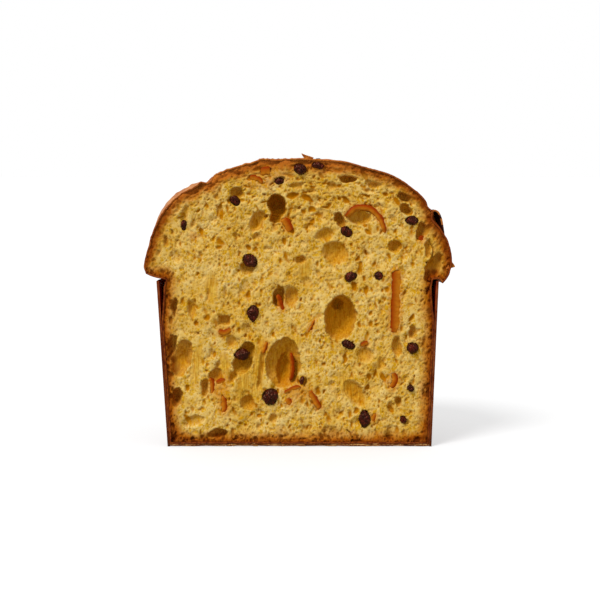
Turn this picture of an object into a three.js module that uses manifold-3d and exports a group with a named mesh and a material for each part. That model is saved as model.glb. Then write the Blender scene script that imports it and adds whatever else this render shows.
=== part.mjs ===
// Half of a tall panettone, standing in its half of the brown paper mould it was baked in.
// The knife went straight down through the middle, so the cut face is a flat plane facing -Y, and the
// domed crust, with its scored flaps, is behind it. Millimetres, +Z up, +X to the right of the cut face.
import * as THREE from 'three';
import { ParametricGeometry } from 'three/addons/geometries/ParametricGeometry.js';
import { mergeVertices } from 'three/addons/utils/BufferGeometryUtils.js';
import Module from 'manifold-3d';

const wasm = await Module();
wasm.setup();

// Driving dimensions
const MOULD_RADIUS_FOOT = 83.2; // outside of the paper at the floor
const MOULD_RADIUS_RIM = 88.2; // outside of the paper at its top edge
const MOULD_HEIGHT = 105;
const MOULD_LEAN = -1.2; // how far the rim stands to one side of the foot, along X
const PAPER = 1.4; // thickness of the corrugated baking paper
const FIT = 0.35; // gap left between pieces that touch
const SHRINK = 2.6; // how far the bread has drawn away from the paper near the rim
const SHRINK_FROM = 76; // height where it starts to draw away
const BREAD_FOOT = PAPER + FIT;
const TOP_OF_WALL = 105.5; // where the bread swells out over the paper

// Half-outlines of the loaf above the paper, from the top of the dome to the lip of the overhang:
// distance from the mould's axis, then height above the floor.
const RIGHT_DOME = [
  [0, 181.1], [17, 180.2], [28, 179], [39, 176], [50, 173], [58, 170.2], [66, 165.6], [73, 160.4],
  [77.5, 156], [80.6, 151.6], [82.4, 148], [83.4, 143.6], [85.3, 139.3], [87.8, 135.4], [90, 131.8],
  [91.9, 128.2], [93, 124.6], [93.9, 120.6], [94.6, 116.4], [94.1, 112], [92.6, 107.6], [89.3, 103.2],
];
const LEFT_DOME = [
  [0, 181.1], [17, 180.2], [27, 179.2], [37, 176.6], [46, 173.6], [52, 170.6], [57, 165], [61.3, 161],
  [66, 158], [71.1, 154.8], [76.2, 150.7], [82.2, 145.5], [86.4, 140.6], [90.4, 134], [93, 128.3], [94.5, 124],
  [95.7, 119.8], [96.8, 116], [97.1, 112.7], [95.9, 109.2],
];
// Undersides of the overhang, from that lip back in to the neck of the loaf.
const RIGHT_UNDER = [[89.3, 103.2], [88.4, 104.6], [87.2, 105.7], [83.3, TOP_OF_WALL]];
const LEFT_UNDER = [[95.9, 109.2], [92.6, 107.6], [88.4, 106.4], [83.3, TOP_OF_WALL]];

// The top was scored with a cross before baking, so four flaps of skin have drawn back from it: two are
// halved by the knife, one is whole at the back. Turn is measured from +X, and tip and spread are where
// the flap starts along the dome (0 at the top, 1 at the lip) and its half-width in degrees.
const FLAPS = [
  { turn: 180, tip: 0.455, spread: 43, lift: 2.6 },
  { turn: 90, tip: 0.4, spread: 41, lift: 2.9 },
  { turn: 0, tip: 0.64, spread: 40, lift: 1.2 },
];
// Swellings of the crust just behind the cut, seen past its edge.
const SWELLINGS = [
  { turn: 170.5, along: 0.63, wide: 11, long: 0.17, rise: 5.2 },
  { turn: 8.5, along: 0.695, wide: 5, long: 0.036, rise: 7 },
  { turn: 0, along: 0.685, wide: 2.4, long: 0.03, rise: -1.8 },
  { turn: 180, along: 0.165, wide: 14, long: 0.03, rise: 1.6 },
  { turn: 62, along: 0.7, wide: 20, long: 0.2, rise: 2.2 },
  { turn: 128, along: 0.34, wide: 16, long: 0.12, rise: 2 },
  { turn: 46, along: 0.3, wide: 14, long: 0.1, rise: -1.6 },
  { turn: 150, along: 0.86, wide: 12, long: 0.1, rise: 2 },
];
// Flakes of crust that stand up beside the cut: tip and root (x, z), width at the root, and how far
// behind the knife's plane.
const FLAKES = [
  [[1.4, 184], [7.6, 179.4], 3.6, 1.4],
  [[97.1, 113.2], [92.4, 114.6], 5.4, 1.8],
  [[-20.6, 181.2], [-24.8, 178.2], 5, 2.6],
];

// Air holes that show on the cut face: x and z of the centre, width, height, clockwise tilt in degrees
// and depth behind the knife's plane.
const HOLES = [
  [25.6, 81.3, 20, 28, 6, 17], // the largest, right of the middle
  [24.4, 89.2, 10, 11, 0, 21],
  [-10, 52.8, 22, 32, 6, 8.5],
  [-10.6, 49.4, 9.6, 22, 8, 14.5],
  [-34.9, 56.1, 12, 22, 24, 9],
  [-73.9, 55.9, 13, 24, 18, 7.5],
  [-80, 63.6, 6, 14, 8, 7],
  [-77.1, 31, 7, 13, 4, 8],
  [-59.7, 37.1, 5, 13.5, 4, 6],
  [-52.7, 45.2, 9, 9, 20, 5],
  [-32.4, 27.7, 9.2, 9.6, 0, 6],
  [-51.8, 7.8, 13, 6.4, -8, 7],
  [-66.5, 15.9, 15, 7, -14, 2.6],
  [-46.9, 79.7, 8.6, 7, 0, 6],
  [-42.9, 66.6, 7, 8.4, 20, 3],
  [-78, 88, 3.6, 13, 4, 6],
  [-67.2, 87.2, 5.4, 12, 2, 3.2],
  [-32.3, 113, 9, 11, 16, 5.5],
  [-12.6, 94.8, 7.4, 13, 12, 8],
  [-5.2, 94.6, 9, 13, 18, 5],
  [-26.3, 142.1, 9.4, 15, 28, 5],
  [-14.5, 152.5, 11.4, 12.6, 10, 13],
  [-15.3, 145.7, 6.4, 8.4, 20, 12],
  [-39, 159.4, 8.8, 8, 15, 6],
  [37.4, 143.9, 16, 9.4, 0, 5.5],
  [25.3, 142.5, 6.4, 10.6, -28, 8],
  [15.6, 133.6, 12.4, 8.4, -18, 3.4],
  [22.1, 122, 17, 14.6, 30, 5],
  [59.6, 126.2, 8, 8, 0, 6],
  [0.6, 117.8, 6.8, 5.6, 0, 4],
  [65, 156.6, 9.2, 5.2, 38, 8],
  [66.2, 149.1, 8.8, 5.4, 40, 7],
  [75.7, 135.8, 6.6, 11.4, 8, 7],
  [30.4, 167.7, 10.8, 4.8, 4, 8],
  [45.9, 164.4, 11, 5, 15, 3.6],
  [83.2, 112.9, 8.2, 20, 26, 8],
  [80.4, 124.6, 4.4, 12, 4, 4.5],
  [60.8, 63.6, 6.6, 13.4, 0, 4.6],
  [35, 33.6, 10.8, 20, -34, 4],
  [41.3, 57.9, 10.6, 10, 0, 3],
  [70.7, 72.5, 5, 9, 0, 5],
  [62, 28.5, 3.8, 7, 0, 5],
  [84.9, 143.4, 3.4, 13, -26, 9], // the gap behind the right-hand flap, where its edge has curled
];
// Raisins cut or laid bare by the knife: x, z, width, height, clockwise tilt and depth of the centre.
const RAISINS = [
  [-40, 154.2, 7.2, 5.2, 28, 2.6],
  [-30.7, 117.2, 10.2, 7.8, 24, 2.2],
  [0.2, 174.4, 8, 6.4, 26, 1.6],
  [11.7, 176.6, 7.6, 3.2, 4, 1.2],
  [69.9, 142.5, 8.4, 5.6, -6, 2.2],
  [29.1, 135.4, 8, 6.4, 28, 2.8],
  [31.9, 107.2, 8.2, 5.6, -14, 1.8],
  [49.3, 107.8, 5.6, 5.2, 0, 1.6],
  [-29.2, 84.5, 6.8, 10.4, 4, 1.6],
  [-35.9, 58.3, 9.6, 7, -16, 2.2],
  [-18.5, 31.4, 10, 10, 0, 1.8],
  [30.9, 64.4, 9.2, 5, 24, 1.6],
  [71, 62.4, 7.2, 7, 30, 1.8],
  [69.8, 37.1, 4.6, 3.8, 32, 1.2],
  [65.1, 17.1, 4.2, 4.2, 0, 1.2],
  [41.1, 17.5, 7, 11.8, 0, 1.8],
  [-12.5, 166.7, 5.4, 3.8, -10, 2],
  [1.8, 42.1, 2.8, 5, 18, 1.4],
  [-72.1, 139.3, 3.2, 6, 8, 1.6],
];
// Raisins baked into the outer crust: turn from +X in degrees, place along the dome, and length.
const CRUST_RAISINS = [
  [38, 0.42, 9], [64, 0.2, 8], [112, 0.33, 9.5], [139, 0.66, 8.5], [96, 0.78, 9], [24, 0.83, 8],
];
// Candied orange peel: the line that each strip follows on the cut face (x, z), its width, how deep it
// runs behind the face, and how far its front stands behind the knife's plane.
const PEELS = [
  { line: [[-10, 143.5], [-7.6, 139.7], [-5.6, 135.6]], wide: 4.6, deep: 4, back: 0.2 },
  { line: [[29.2, 144.7], [33.2, 149.3], [39.4, 150.7], [45.7, 148.5], [50.7, 142.7], [53.4, 134.8]], wide: 3, deep: 5, back: -0.4 },
  { line: [[60.5, 112.6], [60.3, 99.2], [60, 85.1], [59.7, 72.3]], wide: 5.6, deep: 2.6, back: 0.5 },
  { line: [[-51.1, 72.7], [-46.9, 72.3], [-43.1, 74.5]], wide: 3.2, deep: 4, back: 0.4 },
  { line: [[-56.3, 43.4], [-54.7, 39.7], [-54.9, 33.2]], wide: 2.8, deep: 4, back: 0.8 },
  { line: [[-52.3, 40.3], [-46.4, 42.5]], wide: 2.6, deep: 3.4, back: 0.8 },
  { line: [[-48.3, 32], [-47.3, 26.5], [-47.9, 21]], wide: 3.8, deep: 3.4, back: 0.5 },
  { line: [[-20.5, 66.2], [-22.9, 59.1]], wide: 2, deep: 2.4, back: 0.2 },
  { line: [[9.4, 80.3], [5.6, 72.7]], wide: 1.6, deep: 2.4, back: 0.1 },
  { line: [[38.3, 64.2], [43.1, 66.2]], wide: 2.6, deep: 2.6, back: 0.4 },
  { line: [[58.8, 47.2], [60.1, 42.3], [57.5, 37.1]], wide: 4, deep: 3.6, back: 0.6 },
  { line: [[47.9, 20.8], [45.7, 15.3]], wide: 2.6, deep: 2.6, back: 0.3 },
  { line: [[6.6, 35.6], [9.6, 29.8], [12.9, 23.9]], wide: 3.6, deep: 3.2, back: 0.2 },
  { line: [[-9.7, 34], [-4, 37.1], [1, 37.7]], wide: 2.2, deep: 3, back: 0.2 },
  { line: [[-8.1, 30.2], [-5.2, 26.9]], wide: 4, deep: 3.4, back: 0.3 },
  { line: [[-5.4, 58.9], [-4.4, 49.8], [-5.6, 41.7]], wide: 2.2, deep: 5, back: 1.4 },
  { line: [[-13.6, 96], [-12, 90.8], [-10, 85.6]], wide: 3, deep: 4, back: 1.4 },
  { line: [[-30.8, 169.5], [-26.4, 168.5], [-22.6, 165.7]], wide: 3, deep: 3.2, back: 0.2 },
  { line: [[-24.2, 172.9], [-18.1, 173.5]], wide: 5.4, deep: 4.4, back: 0.3 },
  { line: [[75.7, 132.8], [76.7, 129.2]], wide: 3.4, deep: 3, back: 2 },
];

// Colours of the real thing
const COLOURS = { crumb: '#c99b42', raisin: '#3a1410', peel: '#c8701c', paper: '#4a2013' };

// Helpers
const rad = THREE.MathUtils.degToRad;
const step = THREE.MathUtils.smoothstep;
const bell = (offset, width) => Math.exp(-((offset / width) ** 2));
const profile = (points) =>
  new THREE.CatmullRomCurve3(points.map(([r, z]) => new THREE.Vector3(r, 0, z)), false, 'centripetal');

// A closed three.js geometry as a solid that can be cut and joined.
function solid(geometry) {
  const bare = geometry.clone().deleteAttribute('normal').deleteAttribute('uv');
  const merged = mergeVertices(bare, 1e-4);
  const corners = merged.index.array;
  const kept = [];
  for (let i = 0; i < corners.length; i += 3) {
    const [a, b, c] = corners.slice(i, i + 3);
    if (a !== b && b !== c && c !== a) kept.push(a, b, c);
  }
  const vertProperties = new Float32Array(merged.attributes.position.array);
  return new wasm.Manifold(new wasm.Mesh({ numProp: 3, vertProperties, triVerts: new Uint32Array(kept) }));
}

// The same solid as a geometry again, with edges shorter than the tolerance tidied away.
function geometryOf(body, tolerance = 0.02) {
  const mesh = body.simplify(tolerance).getMesh();
  const geometry = new THREE.BufferGeometry();
  geometry.setAttribute('position', new THREE.BufferAttribute(mesh.vertProperties, 3));
  geometry.setIndex(new THREE.BufferAttribute(mesh.triVerts, 1));
  return geometry;
}

// Keeps what is behind the knife.
function halve(body) {
  const size = 400;
  const behind = new THREE.BoxGeometry(size, size, size).translate(0, size / 2, 0);
  return body.intersect(solid(behind));
}

// Paper mould
const paperOutside = (z) => THREE.MathUtils.lerp(MOULD_RADIUS_FOOT, MOULD_RADIUS_RIM, z / MOULD_HEIGHT);
const paperInside = (z) => paperOutside(z) - PAPER;
const lean = (z) => (MOULD_LEAN * z) / MOULD_HEIGHT;

function paperWall() {
  const section = [
    [paperInside(0), 0],
    [paperOutside(0), 0],
    [paperOutside(MOULD_HEIGHT), MOULD_HEIGHT],
    [paperInside(MOULD_HEIGHT), MOULD_HEIGHT],
    [paperInside(0), 0],
  ].map(([r, z]) => new THREE.Vector2(r, z));
  const slant = new THREE.Matrix4().makeShear(0, 0, 0, 0, MOULD_LEAN / MOULD_HEIGHT, 0);
  const ring = new THREE.LatheGeometry(section, 96).rotateX(Math.PI / 2).applyMatrix4(slant);
  return halve(solid(ring));
}

function paperBase() {
  const radius = paperInside(0) - FIT;
  const disc = new THREE.CylinderGeometry(radius, radius, PAPER, 96);
  return halve(solid(disc.rotateX(Math.PI / 2).translate(0, 0, PAPER / 2)));
}

// Loaf
const domes = { right: profile(RIGHT_DOME), left: profile(LEFT_DOME) };
const unders = { right: profile(RIGHT_UNDER), left: profile(LEFT_UNDER) };

// A point of the outline at a turn, from the right-hand outline at 0 to the left-hand one at half a turn.
function blended(curves, turn, along) {
  const share = (1 - Math.cos(turn)) / 2;
  return curves.right.getPointAt(along).lerp(curves.left.getPointAt(along), share);
}

// The bread's own radius inside the paper.
const breadRadius = (z) => paperInside(z) - FIT - SHRINK * step(z, SHRINK_FROM, TOP_OF_WALL - 4);

const halfTurn = (degrees) => Math.abs(THREE.MathUtils.euclideanModulo(degrees + 180, 360) - 180);

// How far the crust stands out from the smooth dome, along its normal.
function relief(turn, along) {
  const degrees = halfTurn(THREE.MathUtils.radToDeg(turn));
  let rise = 0;
  for (const flap of FLAPS) {
    const off = Math.abs(degrees - flap.turn) / flap.spread;
    if (off >= 1) continue;
    const edge = flap.tip + (0.97 - flap.tip) * off ** 1.5;
    const inside = step(along - edge, 0, 0.03);
    rise += flap.lift * inside * (1 - 0.9 * step(along - edge, 0.1, 0.42)) * (1 - off ** 4);
    rise -= 0.9 * bell(along - edge + 0.022, 0.02) * (1 - off ** 4);
  }
  for (const s of SWELLINGS) rise += s.rise * bell(degrees - s.turn, s.wide) * bell(along - s.along, s.long);
  const back = Math.sin(rad(degrees));
  rise += back * (1.1 * Math.sin(rad(degrees * 5) + 9 * along) + 0.7 * Math.sin(rad(degrees * 11) - 14 * along));
  return rise * step(along, 0.06, 0.2) * (1 - step(along, 0.9, 1));
}

function domePoint(turn, along) {
  const point = blended(domes, turn, along);
  const ahead = blended(domes, turn, Math.min(along + 0.01, 1));
  const behind = blended(domes, turn, Math.max(along - 0.01, 0));
  const slope = ahead.sub(behind).normalize();
  const rise = relief(turn, along);
  point.x -= slope.z * rise;
  point.z += slope.x * rise;
  return point;
}

// Rows of the loaf's surface, from the top of the dome down the outside and in across the base.
const ROWS = { dome: 38, under: 3, wall: 8, base: 2 };
const ALL_ROWS = ROWS.dome + ROWS.under + ROWS.wall + ROWS.base;
const COLUMNS = 76;

function ringPoint(row, turn) {
  if (row <= ROWS.dome) return domePoint(turn, row / ROWS.dome);
  row -= ROWS.dome;
  if (row <= ROWS.under) return blended(unders, turn, row / ROWS.under);
  row -= ROWS.under;
  const z = THREE.MathUtils.lerp(TOP_OF_WALL, BREAD_FOOT, Math.min(row / ROWS.wall, 1));
  const inwards = 1 - Math.max(row - ROWS.wall, 0) / ROWS.base;
  return new THREE.Vector3(breadRadius(z) * inwards, 0, z);
}

function wholeLoaf() {
  const surface = (u, v, target) => {
    const turn = 2 * Math.PI * u - 0.22 * Math.sin(4 * Math.PI * u); // columns lie closer beside the cut
    const row = Math.round((1 - v) * ALL_ROWS);
    const { x: radius, z } = ringPoint(row, turn);
    const aside = row > ROWS.dome + ROWS.under ? lean(z) : 0;
    target.set(radius * Math.cos(turn) + aside, radius * Math.sin(turn), z);
  };
  return solid(new ParametricGeometry(surface, COLUMNS, ALL_ROWS));
}

function flake([tip, root, width, back]) {
  const [run, rise] = [tip[0] - root[0], tip[1] - root[1]];
  return new THREE.ConeGeometry(width / 2, Math.hypot(run, rise), 6)
    .scale(1, 1, 0.4)
    .rotateZ(-Math.atan2(run, rise))
    .rotateX(Math.PI / 2)
    .translate((tip[0] + root[0]) / 2, back, (tip[1] + root[1]) / 2);
}

function hole([x, z, width, height, tilt, depth]) {
  const detail = width * height > 90 ? 2 : 1;
  return new THREE.IcosahedronGeometry(1, detail)
    .rotateY(0.4)
    .scale(width / 2, depth, height / 2)
    .rotateY(rad(tilt))
    .translate(x, 0, z);
}

// Inclusions
// A raisin's wrinkled body, or the pocket round it when grown by the fit.
function raisin(seed, width, thick, height, grow = 0) {
  const geometry = new THREE.IcosahedronGeometry(1, 1);
  const position = geometry.attributes.position;
  const p = new THREE.Vector3();
  for (let i = 0; i < position.count; i++) {
    p.fromBufferAttribute(position, i);
    const fold = 0.1 * Math.sin(5 * p.x + seed) * Math.cos(4 * p.z - 2 * seed) + 0.05 * Math.sin(9 * p.y + seed);
    p.multiplyScalar(1 + fold);
    position.setXYZ(i, p.x, p.y, p.z);
  }
  return geometry.scale(width / 2 + grow, thick / 2 + grow, height / 2 + grow);
}

function cutRaisin([x, z, width, height, tilt, back], index, grow) {
  const thick = 0.85 * Math.min(width, height) + 1.4;
  return raisin(index * 1.7, width, thick, height, grow).rotateY(rad(tilt)).translate(x, back, z);
}

function crustRaisin([degrees, along, length], index, grow) {
  const turn = rad(degrees);
  const { x: radius, z } = domePoint(turn, along);
  const ahead = domePoint(turn, along + 0.02);
  const lean = Math.atan2(z - ahead.z, ahead.x - radius);
  return raisin(index * 2.3 + 40, length * 0.66, length, length * 0.62, grow)
    .rotateY(lean)
    .translate(radius - 0.12 * length * Math.sin(lean), 0, z - 0.12 * length * Math.cos(lean))
    .rotateZ(turn);
}

// A strip of candied peel: a band round a line on the cut face, run straight back into the crumb. The
// slot that it lies in is grown by the fit and open towards the knife.
function peel({ line, wide, deep, back }, grow = 0) {
  const curve = new THREE.CatmullRomCurve3(line.map(([x, z]) => new THREE.Vector3(x, z, 0)));
  const length = curve.getLength();
  const count = Math.max(3, Math.round(length / 4));
  const sides = [[], []];
  for (let i = 0; i <= count; i++) {
    const at = i / count;
    const point = curve.getPointAt(at);
    const along = curve.getTangentAt(at);
    const taper = 0.72 + 0.28 * Math.sin(Math.PI * at) ** 0.5;
    const reach = (wide / 2) * taper + grow;
    const extend = i === 0 ? -grow : i === count ? grow : 0;
    point.addScaledVector(along, extend);
    sides[0].push(new THREE.Vector2(point.x - along.y * reach, point.y + along.x * reach));
    sides[1].unshift(new THREE.Vector2(point.x + along.y * reach, point.y - along.x * reach));
  }
  const shape = new THREE.Shape([...sides[0], ...sides[1]]);
  const front = grow > 0 ? -2 : back;
  const rear = back + deep + grow;
  const flat = new THREE.ExtrudeGeometry(shape, { depth: rear - front, bevelEnabled: false });
  return flat.rotateX(Math.PI / 2).translate(0, rear, 0);
}

const inclusions = [
  ...RAISINS.map((row, i) => ({ kind: 'raisin', body: cutRaisin(row, i, 0), room: cutRaisin(row, i, FIT) })),
  ...CRUST_RAISINS.map((row, i) => ({ kind: 'raisin', body: crustRaisin(row, i, 0), room: crustRaisin(row, i, FIT) })),
  ...PEELS.map((row) => ({ kind: 'peel', body: peel(row), room: peel(row, FIT) })),
];

function loaf() {
  const hollows = [...HOLES.map(hole), ...inclusions.map(({ room }) => room)];
  const whole = wasm.Manifold.union([wholeLoaf(), ...FLAKES.map(flake).map(solid)]);
  return halve(whole).subtract(wasm.Manifold.union(hollows.map(solid)));
}

// Assembly
const panettone = new THREE.Group();
const finish = {
  crumb: new THREE.MeshStandardMaterial({ color: COLOURS.crumb, roughness: 0.85, metalness: 0 }),
  raisin: new THREE.MeshStandardMaterial({ color: COLOURS.raisin, roughness: 0.45, metalness: 0 }),
  peel: new THREE.MeshStandardMaterial({ color: COLOURS.peel, roughness: 0.4, metalness: 0 }),
  paper: new THREE.MeshStandardMaterial({ color: COLOURS.paper, roughness: 0.7, metalness: 0 }),
};

function add(name, geometry, material) {
  const mesh = new THREE.Mesh(geometry, material);
  mesh.name = name;
  panettone.add(mesh);
}

add('loaf', geometryOf(loaf()), finish.crumb);
add('paper_wall', geometryOf(paperWall()), finish.paper);
add('paper_base', geometryOf(paperBase()), finish.paper);
const counts = { raisin: 0, peel: 0 };
for (const { kind, body } of inclusions) {
  counts[kind] += 1;
  add(`${kind}_${String(counts[kind]).padStart(2, '0')}`, geometryOf(solid(body)), finish[kind]);
}

// The origin is the middle of the footprint's box, on the floor.
const box = new THREE.Box3().setFromObject(panettone);
const middle = box.getCenter(new THREE.Vector3());
panettone.position.set(-middle.x, -middle.y, -box.min.z);

export default panettone;
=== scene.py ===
"""Half of a tall panettone standing in its half of the brown paper mould, dressed over its solids.

Lengths are in millimetres about the mould's axis, with the knife's cut at y = 0 and the floor at
z = 0, until a finished piece is put in the shared frame.
"""

import math

import bmesh
import bpy
import numpy as np
from mathutils import Matrix, Vector, noise

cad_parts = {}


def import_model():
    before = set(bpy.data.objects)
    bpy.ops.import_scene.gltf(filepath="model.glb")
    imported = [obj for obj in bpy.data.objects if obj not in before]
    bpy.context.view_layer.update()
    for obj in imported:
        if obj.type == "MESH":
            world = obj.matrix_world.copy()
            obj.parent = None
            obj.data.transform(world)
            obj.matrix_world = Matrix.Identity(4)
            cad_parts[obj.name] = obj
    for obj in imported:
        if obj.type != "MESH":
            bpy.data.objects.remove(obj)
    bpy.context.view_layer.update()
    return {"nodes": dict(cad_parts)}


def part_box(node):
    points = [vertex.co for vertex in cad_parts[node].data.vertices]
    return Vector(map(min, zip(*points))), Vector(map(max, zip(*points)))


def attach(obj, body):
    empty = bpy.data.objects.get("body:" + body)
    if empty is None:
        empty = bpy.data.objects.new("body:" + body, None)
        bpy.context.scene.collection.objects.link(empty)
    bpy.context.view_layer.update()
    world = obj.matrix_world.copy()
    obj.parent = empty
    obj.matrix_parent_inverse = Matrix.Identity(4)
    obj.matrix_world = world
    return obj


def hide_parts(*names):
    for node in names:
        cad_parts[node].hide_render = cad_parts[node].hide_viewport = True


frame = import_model()

# Dimensions
FOOT_RADIUS = 83.2  # outside of the paper at the floor
RIM_RADIUS = 88.2  # outside of the paper at its top edge
MOULD_HEIGHT = 105
LEAN = -1.2  # how far the rim stands to one side of the foot, along X
PAPER = 1.4  # thickness of the corrugated board
FIT = 0.35  # room between the bread and the paper
SHRINK = 2.6  # how far the bread has drawn away from the paper near the rim
SHRINK_FROM = 76  # height from which it has drawn away
TOP_OF_WALL = 105.5  # where the bread swells out over the paper
BREAD_FOOT = PAPER + FIT
SKIN = 1.1  # thickness of the crust
FLUTE_PITCH = 2.6  # of the board's wavy middle layer, in the bottom
WALL_RIBS = 103  # ribs round the half wall
LINER = 0.3  # thickness of the board's outer and inner layers
MEAN_RADIUS = 85  # turns an angle into a length round the loaf

# Half-outlines of the dome: distance from the axis and height, from the top to the lip.
RIGHT_DOME = [
    (0, 181.1), (17, 180.2), (28, 179), (39, 176), (50, 173), (58, 170.2), (66, 165.6), (73, 160.4),
    (77.5, 156), (80.6, 151.6), (82.4, 148), (83.4, 143.6), (85.3, 139.3), (87.8, 135.4), (90, 131.8),
    (91.9, 128.2), (93, 124.6), (93.9, 120.6), (94.6, 116.4), (94.1, 112), (92.6, 107.6), (89.3, 103.2),
]
LEFT_DOME = [
    (0, 181.1), (17, 180.2), (27, 179.2), (37, 176.6), (46, 173.6), (52, 170.6), (57, 165), (61.3, 161),
    (66, 158), (71.1, 154.8), (76.2, 150.7), (82.2, 145.5), (86.4, 140.6), (90.4, 134), (93, 128.3),
    (94.5, 124), (95.7, 119.8), (96.8, 116), (97.1, 112.7), (95.9, 109.2),
]
RIGHT_UNDER = [(89.3, 103.2), (88.4, 104.6), (87.2, 105.7), (83.3, TOP_OF_WALL)]
LEFT_UNDER = [(95.9, 109.2), (92.6, 107.6), (88.4, 106.4), (83.3, TOP_OF_WALL)]

# Flaps of the scored skin: turn from +X in degrees, place of the tip along the dome, half-width, rise,
# the place along the dome where the dark skin begins, and how dark the skin is coloured: partly baking,
# partly painted light, the left flap kept paler as the lit side and the right one darker as the shaded
# side.
FLAPS = [(180, 0.455, 43, 2.6, 0.45, 0.5), (90, 0.4, 41, 2.9, 0.4, 0.9), (0, 0.64, 40, 1.2, 0.21, 1.0)]
# Front edge of the scale of crust that stands away at the right, from its tip down: x and z.
SCALE_FRONT = [
    (82.4, 146.8), (83.6, 148), (85.4, 147.4), (87.2, 144.6), (88.2, 140.6), (88.9, 136.6), (89.4, 132.4),
]
# Swellings: turn, place along the dome, their widths, rise.
SWELLINGS = [
    (170.5, 0.63, 11, 0.17, 5.2), (0, 0.685, 2.4, 0.03, -1.8),
    (180, 0.165, 14, 0.03, 1.6), (62, 0.7, 20, 0.2, 2.2), (128, 0.34, 16, 0.12, 2),
    (46, 0.3, 14, 0.1, -1.6), (150, 0.86, 12, 0.1, 2),
]

STEEP_FROM = 6  # air holes deeper than this have steep walls
# Air holes on the cut face: x, z, width, height, clockwise tilt in degrees, depth.
BIG_HOLES = [
    (25.6, 81.3, 20, 28, 6, 13.5), (24.4, 88.6, 9, 10, 0, 18), (-10, 52.8, 22, 32, 6, 8.5),
    (-10.6, 49.4, 9.6, 22, 8, 14.5), (-34.9, 56.1, 12, 22, 24, 9), (-73.9, 55.9, 13, 24, 18, 7.5),
    (-80, 63.6, 6, 14, 8, 7), (-77.1, 31, 7, 13, 4, 8), (-59.7, 37.1, 5, 13.5, 4, 6),
    (-52.7, 45.2, 9, 9, 20, 5), (-32.4, 27.7, 9.2, 9.6, 0, 6), (-51.8, 7.8, 13, 6.4, -8, 7),
    (-66.5, 15.9, 15, 7, -14, 2.6), (-46.9, 79.7, 8.6, 7, 0, 6), (-42.9, 66.6, 7, 8.4, 20, 3),
    (-78, 88, 3.6, 13, 4, 6), (-67.2, 87.2, 5.4, 12, 2, 3.2), (-32.3, 113, 9, 11, 16, 5.5),
    (-12.6, 94.8, 7.4, 13, 12, 8), (-5.2, 94.6, 9, 13, 18, 5), (-26.3, 142.1, 9.4, 15, 28, 5),
    (-14.5, 152.5, 11.4, 12.6, 10, 19), (-13.4, 148.6, 9.8, 8.6, 20, 15), (-15, 144.9, 6.2, 8.4, 20, 13),
    (-39, 159.4, 8.8, 8, 15, 6), (37.4, 143.9, 16, 9.4, 0, 5.5), (25.3, 142.5, 6.4, 10.6, -28, 8),
    (15.6, 133.6, 12.4, 8.4, -18, 3.4), (22.1, 122, 17, 14.6, 30, 5), (59.6, 126.2, 8, 8, 0, 6),
    (0.6, 117.8, 6.8, 5.6, 0, 4), (65, 156.6, 9.2, 5.2, 38, 8), (66.2, 149.1, 8.8, 5.4, 40, 7),
    (75.7, 135.8, 6.6, 11.4, 8, 7), (30.4, 167.7, 10.8, 4.8, 4, 8), (45.9, 164.4, 11, 5, 15, 3.6),
    (83.2, 112.9, 8.2, 20, 26, 8), (80.4, 124.6, 4.4, 12, 4, 4.5), (60.8, 63.6, 6.6, 13.4, 0, 4.6),
    (35, 33.6, 10.8, 20, -34, 4), (41.3, 57.9, 10.6, 10, 0, 3), (70.7, 72.5, 5, 9, 0, 5),
    (62, 28.5, 3.8, 7, 0, 5),
]
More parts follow.
